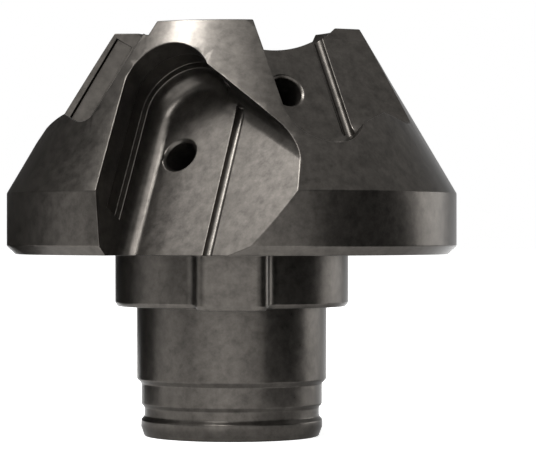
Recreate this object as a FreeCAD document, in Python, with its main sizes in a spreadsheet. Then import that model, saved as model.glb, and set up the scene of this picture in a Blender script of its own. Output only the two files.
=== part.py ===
"""Chamfer milling cutter head: one turned and milled steel body, tip up, standing on its shank end.

Frame: millimetres, +Z up along the cutter's axis, origin at the centre of the shank's end face.
-Y is the front, where one of the two drive lugs points.
"""
import FreeCAD, Part
import os

import Sketcher

ORIGIN = -1

# Driving dimensions, in millimetres and degrees
SIZES = [
    ("shank_radius", 11.0, "shank that plugs into the holder"),
    ("land_radius", 10.5, "turned-down lands either side of the ring groove"),
    ("ring_groove_radius", 10.15, "floor of the retaining ring groove"),
    ("ring_groove_bottom", 1.9, "lower edge of the ring groove"),
    ("ring_groove_width", 1.85, "width of the ring groove at its mouth"),
    ("ring_groove_slope", 0.4, "length of each sloped side of the ring groove"),
    ("land_top", 6.1, "height where the land steps out to the shank"),
    ("land_step_length", 0.5, "length of the cone between land and shank"),
    ("lead_in_length", 1.1, "length of the lead-in at the shank's end"),
    ("lead_in_depth", 0.4, "how far the lead-in goes into the land"),
    ("centre_mouth_radius", 2.5, "mouth of the turning centre in the end face"),
    ("centre_pilot_radius", 1.0, "pilot drill of the turning centre"),
    ("centre_cone_depth", 2.6, "depth of the turning centre's cone"),
    ("centre_pilot_depth", 4.4, "depth of the pilot drill"),
    ("collar_bottom", 15.0, "height of the collar's seating face"),
    ("collar_radius", 13.5, "collar under the head"),
    ("collar_chamfer_width", 0.3, "radial width of the chamfer on the collar's lower edge"),
    ("collar_chamfer_height", 0.45, "height of the chamfer on the collar's lower edge"),
    ("lug_width", 8.0, "width of each drive lug"),
    ("lug_reach", 20.5, "distance from the axis to a drive lug's flat face"),
    ("lug_corner_radius", 1.4, "outer corners of a drive lug"),
    ("lug_root_radius", 2.0, "fillets between drive lug and collar"),
    ("head_bottom", 21.0, "height of the head's underside"),
    ("head_radius", 26.0, "head across its cylindrical band"),
    ("head_chamfer", 1.0, "chamfer on the head's lower edge"),
    ("cone_base_height", 28.0, "height where the band turns into the cone"),
    ("cone_half_angle", 30.5, "half angle of the cone, from the axis"),
    ("tip_height", 47.0, "height of the tip face"),
    ("tip_rim_width", 2.71, "flat rim left round the conical recess in the tip"),
    ("recess_half_angle", 35.5, "half angle of the recess wall, from the axis"),
    ("recess_depth", 4.5, "depth of the recess in the tip"),
    ("pocket_count", 3.0, "insert pockets of each kind"),
    ("seat_datum_drop", 4.5, "height below the cone's base where the pocket frames start"),
    ("pocket_clearance", 14.0, "height of the milled space above each seat"),
    ("pocket_width", 25.0, "how far the milled space runs to the open side"),
    ("foot_radius", 1.8, "corner radius between pocket walls and seat"),
    ("arch_radius", 5.0, "rounded end of each pocket"),
    ("slot_bottom", 2.5, "height above the seat of the undercut slot"),
    ("slot_depth", 0.8, "depth of the undercut slot in the pocket wall"),
    ("relief_radius", 0.58, "half-round relief groove across the seat"),
    ("relief_shoulder_width", 0.25, "flat shoulder beside the relief groove"),
    ("relief_shoulder_depth", 0.15, "depth of the shoulder below the seat"),
    ("screw_hole_radius", 1.85, "blind hole for the insert's clamping screw"),
    ("screw_hole_depth", 8.5, "depth of the screw hole below the seat"),
    ("screw_hole_chamfer", 0.3, "chamfer at the screw hole's mouth"),
    ("drill_point_depth", 1.1, "cone left by the drill at the hole's end"),
    ("low_azimuth", -33.6, "direction of the first low pocket, from the front"),
    ("low_seat_depth", 7.79, "low seat below the cone"),
    ("low_wall_tilt", 5.4, "lean of the low pocket's long wall"),
    ("low_arch_along", 3.37, "low pocket's arch centre, across the seat"),
    ("low_arch_up", 4.87, "low pocket's arch centre, up the seat"),
    ("low_runout", 2.3, "how far the low pocket runs down past the head's underside"),
    ("low_ramp_along", 6.50, "a point of the low pocket's slanted wall, across the seat"),
    ("low_ramp_up", 8.23, "the same point, up the seat"),
    ("low_ramp_angle", 30.0, "fall of the low pocket's slanted wall"),
    ("low_slot_height", 2.65, "width of the low pocket's undercut slot"),
    ("low_slot_stop", 3.06, "how far short of the head's underside the low pocket's slot stops"),
    ("low_groove_along", 8.9, "top of the low pocket's relief groove, across the seat"),
    ("low_groove_up", 6.3, "top of the low pocket's relief groove, up the seat"),
    ("low_groove_tilt", 5.7, "lean of the low pocket's relief groove"),
    ("low_hole_along", 2.76, "low pocket's screw hole, across the seat"),
    ("low_hole_up", -0.02, "low pocket's screw hole, up the seat"),
    ("high_azimuth", 26.4, "direction of the first high pocket, from the front"),
    ("high_seat_depth", 5.65, "high seat below the cone"),
    ("high_wall_tilt", 3.0, "lean of the high pocket's long wall"),
    ("high_arch_along", 1.24, "high pocket's arch centre, across the seat"),
    ("high_arch_up", 1.86, "high pocket's arch centre, up the seat"),
    ("high_runout", 9.8, "how far the high pocket runs up past the tip"),
    ("high_ramp_along", 4.64, "start of the high pocket's slanted wall, across the seat"),
    ("high_ramp_up", -0.93, "start of the high pocket's slanted wall, up the seat"),
    ("high_end_along", 9.85, "where the slanted wall meets the end wall, across the seat"),
    ("high_end_up", 2.26, "height of the high pocket's end wall"),
    ("high_slot_height", 2.0, "width of the high pocket's undercut slot"),
    ("high_slot_start", 1.8, "where the high pocket's slot starts, up the seat"),
    ("high_slot_stop", 3.36, "how far short of the tip the high pocket's slot stops"),
    ("high_groove_along", 6.95, "high pocket's relief groove, across the seat"),
    ("high_groove_up", 0.9, "bottom of the high pocket's relief groove, up the seat"),
    ("high_groove_stop", 0.76, "how far short of the tip the high pocket's relief groove stops"),
    ("high_groove_tilt", 2.2, "lean of the high pocket's relief groove"),
    ("high_hole_along", 0.52, "high pocket's screw hole, across the seat"),
    ("high_hole_up", 7.18, "high pocket's screw hole, up the seat"),
    ("tip_relief_length", 1.56, "length of the step in the high seat at the tip"),
    ("tip_relief_depth", 0.65, "how far the high seat steps down near the tip"),
]


def make_sheet(doc):
    """Write the driving dimensions to a spreadsheet, one alias each."""
    sheet = doc.addObject("Spreadsheet::Sheet", "Sizes")
    for row, (alias, value, note) in enumerate(SIZES, start=1):
        sheet.set(f"A{row}", str(value))
        sheet.setAlias(f"A{row}", alias)
        sheet.set(f"B{row}", note)
    doc.recompute()
    return sheet


def attach(feature, body, role):
    """Put a sketch or primitive on one of its own body's origin planes."""
    plane = next(item for item in body.Origin.OriginFeatures if item.Role == role)
    feature.AttachmentSupport = [(plane, "")]
    feature.MapMode = "FlatFace"


def new_sketch(body, name, role="XY_Plane"):
    """Add an empty sketch on an origin plane of the body."""
    sketch = body.newObject("Sketcher::SketchObject", name)
    attach(sketch, body, role)
    return sketch


def bind(sketch, constraint, expression):
    """Add a constraint and drive it from the spreadsheet."""
    index = sketch.addConstraint(constraint)
    sketch.setExpression(f"Constraints[{index}]", expression)


def pin(sketch, curve, point, across, up):
    """Hold one point of a curve at two distances from the sketch's origin."""
    bind(sketch, Sketcher.Constraint("DistanceX", ORIGIN, 1, curve, point, 1.0), across)
    bind(sketch, Sketcher.Constraint("DistanceY", ORIGIN, 1, curve, point, 1.0), up)


def value_of(sheet, expression):
    """Work out a sheet expression, so that a sketch starts near its solved shape."""
    result = sheet.evalExpression(expression)
    return float(getattr(result, "Value", result))


def polygon(sketch, sheet, corners):
    """Draw a closed outline of straight lines, each corner given by two sheet expressions."""
    start = [FreeCAD.Vector(value_of(sheet, across), value_of(sheet, up), 0) for across, up in corners]
    count = len(corners)
    for index in range(count):
        sketch.addGeometry(Part.LineSegment(start[index], start[(index + 1) % count]), False)
    for index, (across, up) in enumerate(corners):
        sketch.addConstraint(Sketcher.Constraint("Coincident", index, 2, (index + 1) % count, 1))
        pin(sketch, index, 1, across, up)


def sized(name):
    """The sheet reference for a named size."""
    return f"Sizes.{name}"


def pad(body, name, sketch, length):
    """Extrude a sketch by a sheet expression."""
    feature = body.newObject("PartDesign::Pad", name)
    feature.Profile = sketch
    feature.setExpression("Length", length)
    body.Tip = feature
    return feature


def dress(body, kind, name, base, edges):
    """Add a fillet or chamfer to the named edges of a feature."""
    feature = body.newObject(kind, name)
    feature.Base = (base, edges)
    body.Tip = feature
    return feature


def edges_where(shape, test):
    """Names of the edges whose geometry passes the test."""
    return [f"Edge{index}" for index, edge in enumerate(shape.Edges, start=1) if test(edge)]


def upright(edge):
    """Whether an edge is straight and parallel to Z."""
    box = edge.BoundBox
    return box.XLength < 1e-6 and box.YLength < 1e-6 and box.ZLength > 1e-6


# Turned blank with its collar and drive lugs

def turned_profile():
    """Half section of the blank, from the turning centre round to the tip recess."""
    tip_radius = "Sizes.head_radius - (Sizes.tip_height - Sizes.cone_base_height) * tan(Sizes.cone_half_angle)"
    recess_radius = f"{tip_radius} - Sizes.tip_rim_width"
    recess_floor = "Sizes.tip_height - Sizes.recess_depth"
    recess_floor_radius = f"{recess_radius} - Sizes.recess_depth * tan(Sizes.recess_half_angle)"
    groove_top = "Sizes.ring_groove_bottom + Sizes.ring_groove_width"
    return [
        ("0", "Sizes.centre_pilot_depth"),
        ("Sizes.centre_pilot_radius", "Sizes.centre_pilot_depth"),
        ("Sizes.centre_pilot_radius", "Sizes.centre_cone_depth"),
        ("Sizes.centre_mouth_radius", "0"),
        ("Sizes.land_radius - Sizes.lead_in_depth", "0"),
        ("Sizes.land_radius", "Sizes.lead_in_length"),
        ("Sizes.land_radius", "Sizes.ring_groove_bottom"),
        ("Sizes.ring_groove_radius", "Sizes.ring_groove_bottom + Sizes.ring_groove_slope"),
        ("Sizes.ring_groove_radius", f"{groove_top} - Sizes.ring_groove_slope"),
        ("Sizes.land_radius", groove_top),
        ("Sizes.land_radius", "Sizes.land_top"),
        ("Sizes.shank_radius", "Sizes.land_top + Sizes.land_step_length"),
        ("Sizes.shank_radius", "Sizes.head_bottom"),
        ("Sizes.head_radius - Sizes.head_chamfer", "Sizes.head_bottom"),
        ("Sizes.head_radius", "Sizes.head_bottom + Sizes.head_chamfer"),
        ("Sizes.head_radius", "Sizes.cone_base_height"),
        (tip_radius, "Sizes.tip_height"),
        (recess_radius, "Sizes.tip_height"),
        (recess_floor_radius, recess_floor),
        ("0", recess_floor),
    ]


def make_blank(doc, sheet):
    """Turn the blank, then add the collar with its two drive lugs."""
    body = doc.addObject("PartDesign::Body", "turned_blank")

    section = new_sketch(body, "turned_section", "XZ_Plane")
    polygon(section, sheet, turned_profile())
    turned = body.newObject("PartDesign::Revolution", "turned_form")
    turned.Profile = section
    turned.ReferenceAxis = (section, ["V_Axis"])
    turned.Angle = 360.0
    body.Tip = turned

    collar_height = "Sizes.head_bottom - Sizes.collar_bottom"
    ring = new_sketch(body, "collar_circle")
    ring.setExpression("AttachmentOffset.Base.z", sized("collar_bottom"))
    ring.addGeometry(Part.Circle(FreeCAD.Vector(0, 0, 0), FreeCAD.Vector(0, 0, 1), sheet.collar_radius), False)
    ring.addConstraint(Sketcher.Constraint("Coincident", 0, 3, ORIGIN, 1))
    bind(ring, Sketcher.Constraint("Radius", 0, sheet.collar_radius), sized("collar_radius"))
    pad(body, "collar", ring, collar_height)

    key = new_sketch(body, "lug_outline")
    key.setExpression("AttachmentOffset.Base.z", sized("collar_bottom"))
    half, reach = "Sizes.lug_width / 2", "Sizes.lug_reach"
    polygon(key, sheet, [(f"-{half}", "0"), (f"-{half}", f"-{reach}"), (half, f"-{reach}"), (half, "0")])
    lug = pad(body, "drive_lug", key, collar_height)
    pair = body.newObject("PartDesign::PolarPattern", "drive_lug_pair")
    pair.Originals = [lug]
    pair.Axis = (key, ["N_Axis"])
    pair.Angle = 360.0
    pair.Occurrences = 2
    body.Tip = pair
    doc.recompute()

    half_width = sheet.lug_width / 2

    def lug_edge(edge, outer):
        middle = edge.BoundBox.Center
        on_side = abs(abs(middle.x) - half_width) < 0.01
        at_face = abs(abs(middle.y) - sheet.lug_reach) < 0.01
        return upright(edge) and on_side and at_face == outer

    corners = edges_where(pair.Shape, lambda edge: lug_edge(edge, True))
    rounded = dress(body, "PartDesign::Fillet", "lug_corners", pair, corners)
    rounded.setExpression("Radius", sized("lug_corner_radius"))
    doc.recompute()
    roots = edges_where(rounded.Shape, lambda edge: lug_edge(edge, False))
    blended = dress(body, "PartDesign::Fillet", "lug_roots", rounded, roots)
    blended.setExpression("Radius", sized("lug_root_radius"))
    doc.recompute()

    def lower_rim(edge):
        box = edge.BoundBox
        reach_out = max(abs(box.XMin), abs(box.XMax), abs(box.YMin), abs(box.YMax))
        level = abs(box.ZMin - sheet.collar_bottom) < 1e-6 and box.ZLength < 1e-6
        on_shank = edge.Curve.TypeId == "Part::GeomCircle" and abs(edge.Curve.Radius - sheet.shank_radius) < 1e-6
        return level and not on_shank and reach_out > sheet.shank_radius / 2

    rim = edges_where(blended.Shape, lower_rim)
    edge_break = dress(body, "PartDesign::Chamfer", "collar_chamfer", blended, rim)
    edge_break.ChamferType = "Two distances"
    edge_break.setExpression("Size", sized("collar_chamfer_height"))
    edge_break.setExpression("Size2", sized("collar_chamfer_width"))
    doc.recompute()
    return body


# Insert pockets: each tool is the space that the milling leaves, drawn on the seat plane.
# In a tool's own frame X runs across the seat, Y up the seat and Z out of it.

def arch_circle(body, name, sheet, kind, radius, level):
    """Draw the pocket's round end at a level above the seat."""
    sketch = new_sketch(body, name)
    sketch.setExpression("AttachmentOffset.Base.z", level)
    along, up = sized(f"{kind}_arch_along"), sized(f"{kind}_arch_up")
    centre = FreeCAD.Vector(value_of(sheet, along), value_of(sheet, up), 0)
    sketch.addGeometry(Part.Circle(centre, FreeCAD.Vector(0, 0, 1), value_of(sheet, radius)), False)
    pin(sketch, 0, 3, along, up)
    bind(sketch, Sketcher.Constraint("Radius", 0, 1.0), radius)
    return sketch


def long_wall(kind, radius, level):
    """The across-seat place of the long wall, offset to a radius, at a level up the seat."""
    tilt = sized(f"{kind}_wall_tilt")
    along, up = sized(f"{kind}_arch_along"), sized(f"{kind}_arch_up")
    return f"{along} - ({radius}) / cos({tilt}) - (({level}) - {up}) * tan({tilt})"


def touch_point(kind, radius):
    """Where the long wall runs into the arch."""
    tilt = sized(f"{kind}_wall_tilt")
    across = f"Sizes.{kind}_arch_along - ({radius}) * cos({tilt})"
    up = f"Sizes.{kind}_arch_up - ({radius}) * sin({tilt})"
    return across, up


def seat_out(kind):
    """How far out the seat lies from the point on the axis that the pocket frames turn about."""
    slope = sized("cone_half_angle")
    return (f"(Sizes.head_radius * cos({slope}) + Sizes.seat_datum_drop * sin({slope})"
            f" - Sizes.{kind}_seat_depth)")


def seat_level(kind, height):
    """How far up the seat it reaches a height of the head."""
    slope = sized("cone_half_angle")
    rise = f"{seat_out(kind)} * sin({slope})"
    return f"(Sizes.{height} - Sizes.cone_base_height + Sizes.seat_datum_drop - {rise}) / cos({slope})"


def low_floor():
    """Seat outline of the low pocket: open downwards, closed above by the slanted wall."""
    bottom = f"{seat_level('low', 'head_bottom')} - Sizes.low_runout"
    ramp_end = "Sizes.low_ramp_up - (Sizes.pocket_width - Sizes.low_ramp_along) * tan(Sizes.low_ramp_angle)"
    return [
        touch_point("low", "Sizes.arch_radius"),
        (long_wall("low", "Sizes.arch_radius", bottom), bottom),
        ("Sizes.pocket_width", bottom),
        ("Sizes.pocket_width", ramp_end),
        ("Sizes.low_ramp_along", "Sizes.low_ramp_up"),
    ]


def high_floor():
    """Seat outline of the high pocket: open at the tip, closed below by a slanted and a level wall."""
    top = f"{seat_level('high', 'tip_height')} + Sizes.high_runout"
    return [
        touch_point("high", "Sizes.arch_radius"),
        (long_wall("high", "Sizes.arch_radius", top), top),
        ("Sizes.pocket_width", top),
        ("Sizes.pocket_width", "Sizes.high_end_up"),
        ("Sizes.high_end_along", "Sizes.high_end_up"),
        ("Sizes.high_ramp_along", "Sizes.high_ramp_up"),
    ]


def slot_strip(kind, start, end):
    """Outline of the undercut slot along the long wall, between two levels up the seat."""
    radius = "Sizes.arch_radius + Sizes.slot_depth"
    middle = sized(f"{kind}_arch_along")
    return [
        (long_wall(kind, radius, start), start),
        (long_wall(kind, radius, end), end),
        (middle, end),
        (middle, start),
    ]


def add_solid(body, name, kind, fields, place):
    """Add a cylinder, cone or box to a tool, sized and placed by sheet expressions."""
    feature = body.newObject(kind, name)
    attach(feature, body, "XY_Plane")
    for field, expression in fields.items():
        feature.setExpression(field, expression)
    feature.setExpression("AttachmentOffset", place)
    body.Tip = feature
    return feature


def add_screw_hole(body, kind):
    """Add the blind screw hole with its mouth chamfer and drill point."""
    across, up = sized(f"{kind}_hole_along"), sized(f"{kind}_hole_up")
    radius, depth, mouth = "Sizes.screw_hole_radius", "Sizes.screw_hole_depth", "Sizes.screw_hole_chamfer"

    def at(level):
        return f"placement(vector({across}; {up}; {level}); rotation(vector(0; 0; 1); 0))"

    bore = {"Radius": radius, "Height": f"{depth} + Sizes.foot_radius"}
    add_solid(body, f"{kind}_bore", "PartDesign::AdditiveCylinder", bore, at(f"-{depth}"))
    flare = {"Radius1": radius, "Radius2": f"{radius} + {mouth}", "Height": mouth}
    add_solid(body, f"{kind}_mouth", "PartDesign::AdditiveCone", flare, at(f"-{mouth}"))
    point = {"Radius1": "0", "Radius2": radius, "Height": "Sizes.drill_point_depth"}
    add_solid(body, f"{kind}_drill_point", "PartDesign::AdditiveCone", point,
              at(f"-{depth} - Sizes.drill_point_depth"))


def add_relief_groove(body, kind, quarter_turn, length):
    """Add the half-round groove across the seat, with the flat shoulder on its screw side."""
    across, up = sized(f"{kind}_groove_along"), sized(f"{kind}_groove_up")
    lean = sized(f"{kind}_groove_tilt")
    turn = f"rotation(vector(0; 0; 1); {lean}) * rotation(vector(1; 0; 0); {quarter_turn})"
    place = f"placement(vector({across}; {up}; 0); {turn})"
    round_bar = {"Radius": "Sizes.relief_radius", "Height": length}
    add_solid(body, f"{kind}_relief", "PartDesign::AdditiveCylinder", round_bar, place)
    reach = "Sizes.relief_radius + Sizes.relief_shoulder_width"
    depth = "Sizes.relief_shoulder_depth"
    shift = f"placement(vector(-({reach}); -{depth}; 0); rotation(vector(0; 0; 1); 0))"
    width = "Sizes.relief_radius / 2 + Sizes.relief_shoulder_width"
    flat = {"Length": width, "Width": f"2 * {depth}", "Height": length}
    add_solid(body, f"{kind}_shoulder", "PartDesign::AdditiveBox", flat, f"{place} * {shift}")


def make_tool(doc, sheet, kind, floor, slot_span):
    """Build the common part of a pocket tool: seat space, rounded feet and undercut slot."""
    body = doc.addObject("PartDesign::Body", f"{kind}_pocket_tool")
    round_end = arch_circle(body, f"{kind}_arch", sheet, kind, "Sizes.arch_radius", "0")
    pad(body, f"{kind}_arch_space", round_end, "Sizes.pocket_clearance")
    outline = new_sketch(body, f"{kind}_floor")
    polygon(outline, sheet, floor)
    space = pad(body, f"{kind}_seat_space", outline, "Sizes.pocket_clearance")
    doc.recompute()

    open_level = value_of(sheet, floor[2][1])

    def is_foot(edge):
        box = edge.BoundBox
        on_seat = abs(box.ZMin) < 1e-6 and box.ZLength < 1e-6
        open_side = box.XMin > sheet.pocket_width - 1e-3
        open_end = box.YLength < 1e-6 and abs(box.YMin - open_level) < 1e-3
        return on_seat and not open_side and not open_end

    feet = dress(body, "PartDesign::Fillet", f"{kind}_feet", space, edges_where(space.Shape, is_foot))
    feet.setExpression("Radius", "Sizes.foot_radius")
    doc.recompute()

    strip = new_sketch(body, f"{kind}_slot_outline")
    strip.setExpression("AttachmentOffset.Base.z", "Sizes.slot_bottom")
    polygon(strip, sheet, slot_strip(kind, *slot_span))
    pad(body, f"{kind}_slot", strip, sized(f"{kind}_slot_height"))
    return body


def make_low_tool(doc, sheet):
    """The low pocket, which runs out through the head's underside."""
    slot_reach = "Sizes.arch_radius + Sizes.slot_depth"
    slot_top = touch_point("low", slot_reach)[1]
    underside = seat_level("low", "head_bottom")
    body = make_tool(doc, sheet, "low", low_floor(), (slot_top, f"{underside} + Sizes.low_slot_stop"))
    round_end = arch_circle(body, "low_slot_arch", sheet, "low", slot_reach, "Sizes.slot_bottom")
    pad(body, "low_slot_round", round_end, "Sizes.low_slot_height")
    add_screw_hole(body, "low")
    add_relief_groove(body, "low", "90", f"Sizes.low_groove_up - {underside} + Sizes.low_runout")
    return body


def make_high_tool(doc, sheet):
    """The high pocket, which runs out through the tip and steps down there."""
    tip = seat_level("high", "tip_height")
    step, top = f"{tip} - Sizes.tip_relief_length", f"{tip} + Sizes.high_runout"
    slot_span = ("Sizes.high_slot_start", f"{tip} - Sizes.high_slot_stop")
    body = make_tool(doc, sheet, "high", high_floor(), slot_span)
    outline = new_sketch(body, "tip_relief_outline")
    outline.setExpression("AttachmentOffset.Base.z", "-Sizes.tip_relief_depth")
    polygon(outline, sheet, [
        (long_wall("high", "Sizes.arch_radius", step), step),
        (long_wall("high", "Sizes.arch_radius", top), top),
        ("Sizes.pocket_width", top),
        ("Sizes.pocket_width", step),
    ])
    pad(body, "tip_relief", outline, "Sizes.tip_relief_depth + Sizes.foot_radius")
    add_screw_hole(body, "high")
    add_relief_groove(body, "high", "-90", f"{tip} - Sizes.high_groove_up - Sizes.high_groove_stop")
    return body


def seat_frame(kind, index):
    """Placement of a pocket's frame: tilted to the cone's slope, then turned about the axis."""
    slope, out = sized("cone_half_angle"), seat_out(kind)
    base = "(Sizes.cone_base_height - Sizes.seat_datum_drop)"
    turn = f"Sizes.{kind}_azimuth + {index} * 360 / Sizes.pocket_count"
    return (f"placement(vector(0; 0; 0); rotation(vector(0; 0; 1); {turn}))"
            f" * placement(vector(0; -{out} * cos({slope}); {base} + {out} * sin({slope}));"
            f" rotation(vector(1; 0; 0); 90 - {slope}))")


def spread(doc, sheet, tool, kind):
    """Put copies of a pocket tool evenly round the axis."""
    tool.setExpression("Placement", seat_frame(kind, 0))
    copies = [tool]
    for index in range(1, int(sheet.pocket_count)):
        link = doc.addObject("App::Link", f"{kind}_pocket_tool_{index + 1}")
        link.LinkedObject = tool
        link.setExpression("Placement", seat_frame(kind, index))
        copies.append(link)
    return copies


def make_cutter(doc, sheet):
    """Mill the insert pockets out of the turned blank."""
    blank = make_blank(doc, sheet)
    low = spread(doc, sheet, make_low_tool(doc, sheet), "low")
    high = spread(doc, sheet, make_high_tool(doc, sheet), "high")
    pockets = doc.addObject("Part::MultiFuse", "insert_pockets")
    pockets.Shapes = low + high
    cutter = doc.addObject("Part::Cut", "cutter_body")
    cutter.Label = "cutter_body"
    cutter.Base = blank
    cutter.Tool = pockets
    cutter.Placement = FreeCAD.Placement()
    doc.recompute()
    return cutter


def check(doc, parts):
    """Stop if any feature failed or a part isn't one sound solid."""
    for item in doc.Objects:
        if "Invalid" in item.State or "Error" in item.State:
            raise RuntimeError(f"{item.Name} failed: {item.State}")
    for part in parts:
        if part.Shape.isNull() or not part.Shape.isValid() or len(part.Shape.Solids) != 1:
            raise RuntimeError(f"{part.Label} isn't one sound solid")


def main():
    """Build the document and write each part to its own file."""
    doc = FreeCAD.newDocument("chamfer_milling_cutter")
    sheet = make_sheet(doc)
    parts = [make_cutter(doc, sheet)]
    check(doc, parts)
    os.makedirs("parts", exist_ok=True)
    for part in parts:
        part.Shape.exportStep(os.path.join("parts", f"{part.Label}.step"))
        print(part.Label, round(part.Shape.Volume, 1), "mm3", len(part.Shape.Faces), "faces")


main()
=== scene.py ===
"""Studio picture of a chamfer milling cutter head in dark burnished steel, tip up on its shank."""
import logging
import math
from dataclasses import dataclass, field
from enum import Enum

import bpy
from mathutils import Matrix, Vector


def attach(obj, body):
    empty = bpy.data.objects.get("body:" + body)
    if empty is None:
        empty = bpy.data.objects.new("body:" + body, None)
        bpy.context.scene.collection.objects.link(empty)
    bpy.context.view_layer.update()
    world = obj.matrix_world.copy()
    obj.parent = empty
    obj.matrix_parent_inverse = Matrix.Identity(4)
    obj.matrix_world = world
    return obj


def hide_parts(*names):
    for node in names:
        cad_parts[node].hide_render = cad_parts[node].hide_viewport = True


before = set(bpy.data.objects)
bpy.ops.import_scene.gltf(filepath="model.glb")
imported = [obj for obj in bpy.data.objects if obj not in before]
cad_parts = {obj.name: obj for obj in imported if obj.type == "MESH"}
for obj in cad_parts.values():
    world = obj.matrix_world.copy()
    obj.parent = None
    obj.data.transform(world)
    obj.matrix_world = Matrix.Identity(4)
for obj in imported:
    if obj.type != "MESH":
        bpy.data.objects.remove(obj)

log = logging.getLogger("cutter")

CUTTER_NODE = "cutter_body"
ROOT_BODY = "root"
AIM_HEIGHT = 0.025

Colour = tuple[float, float, float, float]

WHITE: Colour = (1.0, 1.0, 1.0, 1.0)


class Ray(Enum):
    """The rays that meet the white backdrop itself and not its light."""

    CAMERA = "Is Camera Ray"
    GLOSSY = "Is Glossy Ray"
    TRANSMISSION = "Is Transmission Ray"


def link(tree: bpy.types.NodeTree, source: bpy.types.NodeSocket, target: bpy.types.NodeSocket) -> None:
    """Join two sockets of a node tree."""
    tree.links.new(source, target)


def new_material(name: str) -> tuple[bpy.types.Material, bpy.types.NodeTree]:
    """Start an empty node material.

    Args:
        name: The material's name.

    Returns:
        The material and its node tree, with no nodes in it.
    """
    material = bpy.data.materials.new(name)
    material.use_nodes = True
    material.node_tree.nodes.clear()
    return material, material.node_tree


@dataclass(frozen=True)
class BurnishedSteel:
    """Black-oxide steel: dark, satin, with cloudy mottling and a fine grain."""

    name: str = "burnished_steel"
    deep: Colour = (0.023, 0.0210, 0.0187, 1.0)
    worn: Colour = (0.059, 0.0538, 0.0482, 1.0)
    rim: Colour = (0.50, 0.50, 0.50, 1.0)
    metallic: float = 0.88
    roughness: tuple[float, float] = (0.24, 0.36)
    cloud_scale: float = 820.0
    cloud_detail: float = 8.0
    cloud_roughness: float = 0.70
    cloud_range: tuple[float, float] = (0.25, 0.75)
    grain_scale: float = 5200.0
    grain_detail: float = 2.0
    grain_height: float = 0.000012
    grain_strength: float = 0.25

    def build(self) -> bpy.types.Material:
        """Make the material.

        Returns:
            The steel, patterned on Object coordinates.
        """
        material, tree = new_material(self.name)
        nodes = tree.nodes
        place = nodes.new("ShaderNodeTexCoord")
        clouds = nodes.new("ShaderNodeTexNoise")
        clouds.inputs["Scale"].default_value = self.cloud_scale
        clouds.inputs["Detail"].default_value = self.cloud_detail
        clouds.inputs["Roughness"].default_value = self.cloud_roughness
        link(tree, place.outputs["Object"], clouds.inputs["Vector"])
        tint = nodes.new("ShaderNodeValToRGB")
        for stop, position, colour in zip(tint.color_ramp.elements, self.cloud_range, (self.deep, self.worn)):
            stop.position = position
            stop.color = colour
        link(tree, clouds.outputs["Fac"], tint.inputs["Fac"])
        grain = nodes.new("ShaderNodeTexNoise")
        grain.inputs["Scale"].default_value = self.grain_scale
        grain.inputs["Detail"].default_value = self.grain_detail
        link(tree, place.outputs["Object"], grain.inputs["Vector"])
        dull = nodes.new("ShaderNodeMapRange")
        dull.inputs["To Min"].default_value, dull.inputs["To Max"].default_value = self.roughness
        link(tree, clouds.outputs["Fac"], dull.inputs["Value"])
        bump = nodes.new("ShaderNodeBump")
        bump.inputs["Strength"].default_value = self.grain_strength
        bump.inputs["Distance"].default_value = self.grain_height
        link(tree, grain.outputs["Fac"], bump.inputs["Height"])
        surface = nodes.new("ShaderNodeBsdfPrincipled")
        surface.inputs["Metallic"].default_value = self.metallic
        surface.inputs["Specular Tint"].default_value = self.rim
        link(tree, tint.outputs["Color"], surface.inputs["Base Color"])
        link(tree, dull.outputs["Result"], surface.inputs["Roughness"])
        link(tree, bump.outputs["Normal"], surface.inputs["Normal"])
        output = nodes.new("ShaderNodeOutputMaterial")
        link(tree, surface.outputs["BSDF"], output.inputs["Surface"])
        return material


def seen_directly(tree: bpy.types.NodeTree) -> bpy.types.NodeSocket:
    """Add the switch that is 1 for what the camera, metal and glass see, and 0 for light on the object.

    Args:
        tree: The node tree to add it to.

    Returns:
        The socket with the switch.
    """
    rays = tree.nodes.new("ShaderNodeLightPath")
    seen = rays.outputs[Ray.CAMERA.value]
    for ray in (Ray.GLOSSY, Ray.TRANSMISSION):
        either = tree.nodes.new("ShaderNodeMath")
        either.operation = "MAXIMUM"
        link(tree, seen, either.inputs[0])
        link(tree, rays.outputs[ray.value], either.inputs[1])
        seen = either.outputs["Value"]
    return seen


@dataclass(frozen=True)
class PaleFloor:
    """Matte pale table top that stays white round the object and keeps its shadow."""

    name: str = "pale_floor"
    colour: Colour = (0.86, 0.86, 0.86, 1.0)
    glow: float = 0.75

    def build(self) -> bpy.types.Material:
        """Make the material.

        Returns:
            The table top, which the lamps shade and whose glow lights nothing.
        """
        material, tree = new_material(self.name)
        matte = tree.nodes.new("ShaderNodeBsdfDiffuse")
        matte.inputs["Color"].default_value = self.colour
        lamp = tree.nodes.new("ShaderNodeEmission")
        lift = tree.nodes.new("ShaderNodeMath")
        lift.operation = "MULTIPLY"
        lift.inputs[1].default_value = self.glow
        link(tree, seen_directly(tree), lift.inputs[0])
        link(tree, lift.outputs["Value"], lamp.inputs["Strength"])
        both = tree.nodes.new("ShaderNodeAddShader")
        link(tree, matte.outputs["BSDF"], both.inputs[0])
        link(tree, lamp.outputs["Emission"], both.inputs[1])
        output = tree.nodes.new("ShaderNodeOutputMaterial")
        link(tree, both.outputs["Shader"], output.inputs["Surface"])
        return material


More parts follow.
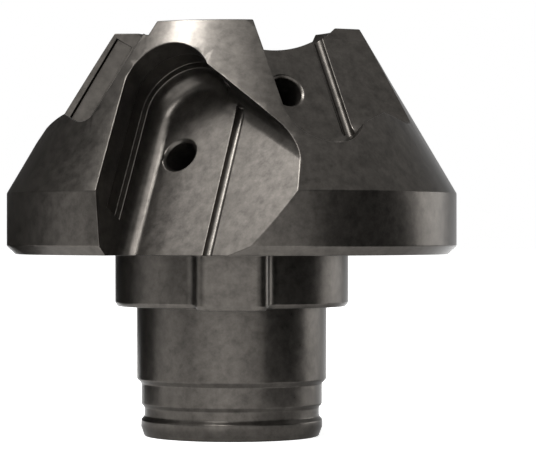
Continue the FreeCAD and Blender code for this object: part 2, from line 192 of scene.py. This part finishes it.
@dataclass
class CutterHead:
    """The milled steel head, with its sharp edges broken as a deburred one's are."""

    steel: BurnishedSteel = field(default_factory=BurnishedSteel)
    edge_break: float = 0.00010
    edge_steps: int = 2
    sharp_angle: float = math.radians(27.0)
    flat_angle: float = math.radians(0.5)
    smooth_angle: float = math.radians(50.0)
    weld: float = 1e-7

    def copy_body(self) -> bpy.types.Object:
        """Copy the CAD body as one closed mesh with flat faces undivided.

        Returns:
            The copy, selected and active.
        """
        bpy.ops.object.select_all(action="DESELECT")
        piece = bpy.data.objects.new("milled_head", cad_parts[CUTTER_NODE].data.copy())
        bpy.context.scene.collection.objects.link(piece)
        piece.select_set(True)
        bpy.context.view_layer.objects.active = piece
        bpy.ops.mesh.customdata_custom_splitnormals_clear()
        bpy.ops.object.mode_set(mode="EDIT")
        bpy.ops.mesh.select_all(action="SELECT")
        bpy.ops.mesh.remove_doubles(threshold=self.weld)
        bpy.ops.mesh.mark_sharp(clear=True)
        bpy.ops.mesh.dissolve_limited(angle_limit=self.flat_angle)
        bpy.ops.object.mode_set(mode="OBJECT")
        return piece

    def break_edges(self, piece: bpy.types.Object) -> None:
        """Round the sharp edges of a piece a little and shade the rest smooth.

        Args:
            piece: The closed mesh to finish.
        """
        rounding = piece.modifiers.new("edge_break", "BEVEL")
        rounding.width = self.edge_break
        rounding.segments = self.edge_steps
        rounding.limit_method = "ANGLE"
        rounding.angle_limit = self.sharp_angle
        rounding.use_clamp_overlap = False
        bpy.ops.object.modifier_apply(modifier=rounding.name)
        bpy.ops.object.shade_smooth_by_angle(angle=self.smooth_angle)
        shading = piece.modifiers.new("flat_faces", "WEIGHTED_NORMAL")
        shading.keep_sharp = True
        bpy.ops.object.modifier_apply(modifier=shading.name)

    def build(self) -> bpy.types.Object:
        """Make the finished head and put it in the CAD body's place.

        Returns:
            The finished piece.
        """
        piece = self.copy_body()
        self.break_edges(piece)
        piece.data.materials.clear()
        piece.data.materials.append(self.steel.build())
        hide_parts(CUTTER_NODE)
        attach(piece, ROOT_BODY)
        return piece


@dataclass
class Stand:
    """Something rectangular on a stand, turned to face the object.

    Azimuth 0 is on the camera's side and 90 on its right. Angles are in degrees.
    """

    name: str
    azimuth: float
    elevation: float
    distance: float
    width: float
    height: float

    def direction(self) -> Vector:
        """The way from the object to the stand."""
        turn, rise = math.radians(self.azimuth), math.radians(self.elevation)
        return Vector((math.sin(turn) * math.cos(rise), -math.cos(turn) * math.cos(rise), math.sin(rise)))

    def put(self, thing: bpy.types.Object) -> None:
        """Set a thing up at the stand's place, out of the camera's sight.

        Args:
            thing: The lamp or card, whose own Z axis is turned away from the object.
        """
        out = self.direction()
        thing.location = Vector((0.0, 0.0, AIM_HEIGHT)) + out * self.distance
        thing.rotation_euler = out.to_track_quat("Z", "Y").to_euler()
        thing.visible_camera = False


@dataclass
class SoftBox(Stand):
    """One rectangular studio light."""

    power: float

    def place(self) -> None:
        """Hang the light and turn it to the object."""
        lamp = bpy.data.lights.new(self.name, "AREA")
        lamp.shape = "RECTANGLE"
        lamp.size = self.width
        lamp.size_y = self.height
        lamp.energy = self.power
        hung = bpy.data.objects.new(self.name, lamp)
        bpy.context.scene.collection.objects.link(hung)
        self.put(hung)


@dataclass
class Flag(Stand):
    """One grey studio card, which the steel mirrors as a darker patch."""

    tone: float

    def place(self) -> None:
        """Stand the card up facing the object, with no shade on the floor."""
        bpy.ops.object.select_all(action="DESELECT")
        bpy.ops.mesh.primitive_plane_add(size=1.0)
        card = bpy.context.active_object
        card.name = self.name
        card.scale = (self.width, self.height, 1.0)
        self.put(card)
        card.visible_shadow = False
        card.visible_diffuse = False
        material, tree = new_material(f"{self.name}_grey")
        grey = tree.nodes.new("ShaderNodeEmission")
        grey.inputs["Strength"].default_value = self.tone
        output = tree.nodes.new("ShaderNodeOutputMaterial")
        link(tree, grey.outputs["Emission"], output.inputs["Surface"])
        card.data.materials.append(material)


@dataclass
class Studio:
    """Floor, backdrop light, lamps and cards."""

    floor_size: float = 6.0
    floor_drop: float = 0.00002
    floor: PaleFloor = field(default_factory=PaleFloor)
    fill: float = 0.55
    backdrop: float = 1.0
    lamps: tuple[SoftBox, ...] = (
        SoftBox("key", azimuth=-62.0, elevation=62.0, distance=0.45,
                width=0.12, height=0.12, power=3.0),
        SoftBox("low_key", azimuth=-20.0, elevation=44.0, distance=0.45,
                width=0.18, height=0.09, power=1.0),
        SoftBox("overhead", azimuth=-38.0, elevation=62.0, distance=0.5,
                width=0.58, height=0.28, power=2.3),
        SoftBox("left_wash", azimuth=-92.0, elevation=48.0, distance=0.42,
                width=0.22, height=0.2, power=0.16),
        SoftBox("front_strip", azimuth=-8.0, elevation=0.0, distance=0.6,
                width=0.44, height=0.3, power=1.15),
        SoftBox("right_strip", azimuth=118.0, elevation=-5.0, distance=0.45,
                width=0.25, height=0.3, power=1.6),
    )
    flags: tuple[Flag, ...] = (
        Flag("right_flag", azimuth=63.0, elevation=12.0, distance=0.16,
             width=0.16, height=0.16, tone=0.02),
        Flag("back_left_flag", azimuth=-128.0, elevation=18.0, distance=0.16,
             width=0.22, height=0.19, tone=0.08),
        Flag("left_flag", azimuth=-54.0, elevation=0.0, distance=0.16,
             width=0.05, height=0.09, tone=0.3),
        Flag("right_low_flag", azimuth=60.0, elevation=-15.0, distance=0.048,
             width=0.046, height=0.028, tone=0.02),
        Flag("left_low_flag", azimuth=-116.0, elevation=-15.0, distance=0.048,
             width=0.034, height=0.028, tone=0.02),
    )

    def lay_floor(self) -> None:
        """Lay the table top under the shank."""
        bpy.ops.object.select_all(action="DESELECT")
        bpy.ops.mesh.primitive_plane_add(size=self.floor_size, location=(0.0, 0.0, -self.floor_drop))
        table = bpy.context.active_object
        table.name = "table_top"
        table.data.materials.append(self.floor.build())

    def light_world(self) -> None:
        """Set the white backdrop and the soft light from all round."""
        world = bpy.data.worlds.new("white_room")
        world.use_nodes = True
        tree = world.node_tree
        tree.nodes.clear()
        seen = seen_directly(tree)
        level = tree.nodes.new("ShaderNodeMapRange")
        level.inputs["To Min"].default_value = self.fill
        level.inputs["To Max"].default_value = self.backdrop
        link(tree, seen, level.inputs["Value"])
        room = tree.nodes.new("ShaderNodeBackground")
        room.inputs["Color"].default_value = WHITE
        link(tree, level.outputs["Result"], room.inputs["Strength"])
        output = tree.nodes.new("ShaderNodeOutputWorld")
        link(tree, room.outputs["Background"], output.inputs["Surface"])
        bpy.context.scene.world = world

    def build(self) -> None:
        """Set up the whole studio."""
        self.lay_floor()
        self.light_world()
        for stand in (*self.lamps, *self.flags):
            stand.place()
            log.info("stand %s", stand.name)
        bpy.context.scene.view_settings.view_transform = "Standard"


@dataclass
class Camera:
    """A level camera in front of the object, framed as the photograph is."""

    picture_width: float = 536.0
    focal_pixels: float = 2500.0
    axis_left_of_middle: float = 36.3
    distance: float = 0.2901
    height: float = 0.0235
    sensor: float = 36.0
    clip_start: float = 0.01

    def place(self) -> None:
        """Make the camera and look through it."""
        eye = bpy.data.cameras.new("camera")
        eye.sensor_width = self.sensor
        eye.lens = self.sensor * self.focal_pixels / self.picture_width
        eye.shift_x = self.axis_left_of_middle / self.picture_width
        eye.clip_start = self.clip_start
        stand = bpy.data.objects.new("camera", eye)
        bpy.context.scene.collection.objects.link(stand)
        stand.location = (0.0, -self.distance, self.height)
        stand.rotation_euler = (math.radians(90.0), 0.0, 0.0)
        bpy.context.scene.camera = stand


def clear_startup() -> None:
    """Delete what a new file starts with, apart from the frame's own objects."""
    for name in ("Cube", "Light", "Camera"):
        thing = bpy.data.objects.get(name)
        if thing is not None:
            bpy.data.objects.remove(thing)


def main() -> None:
    """Build the object, the studio and the camera, in that order."""
    logging.basicConfig(level=logging.INFO)
    clear_startup()
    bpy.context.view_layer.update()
    head = CutterHead().build()
    log.info("piece %s", head.name)
    Studio().build()
    Camera().place()


if __name__ == "__main__":
    main()
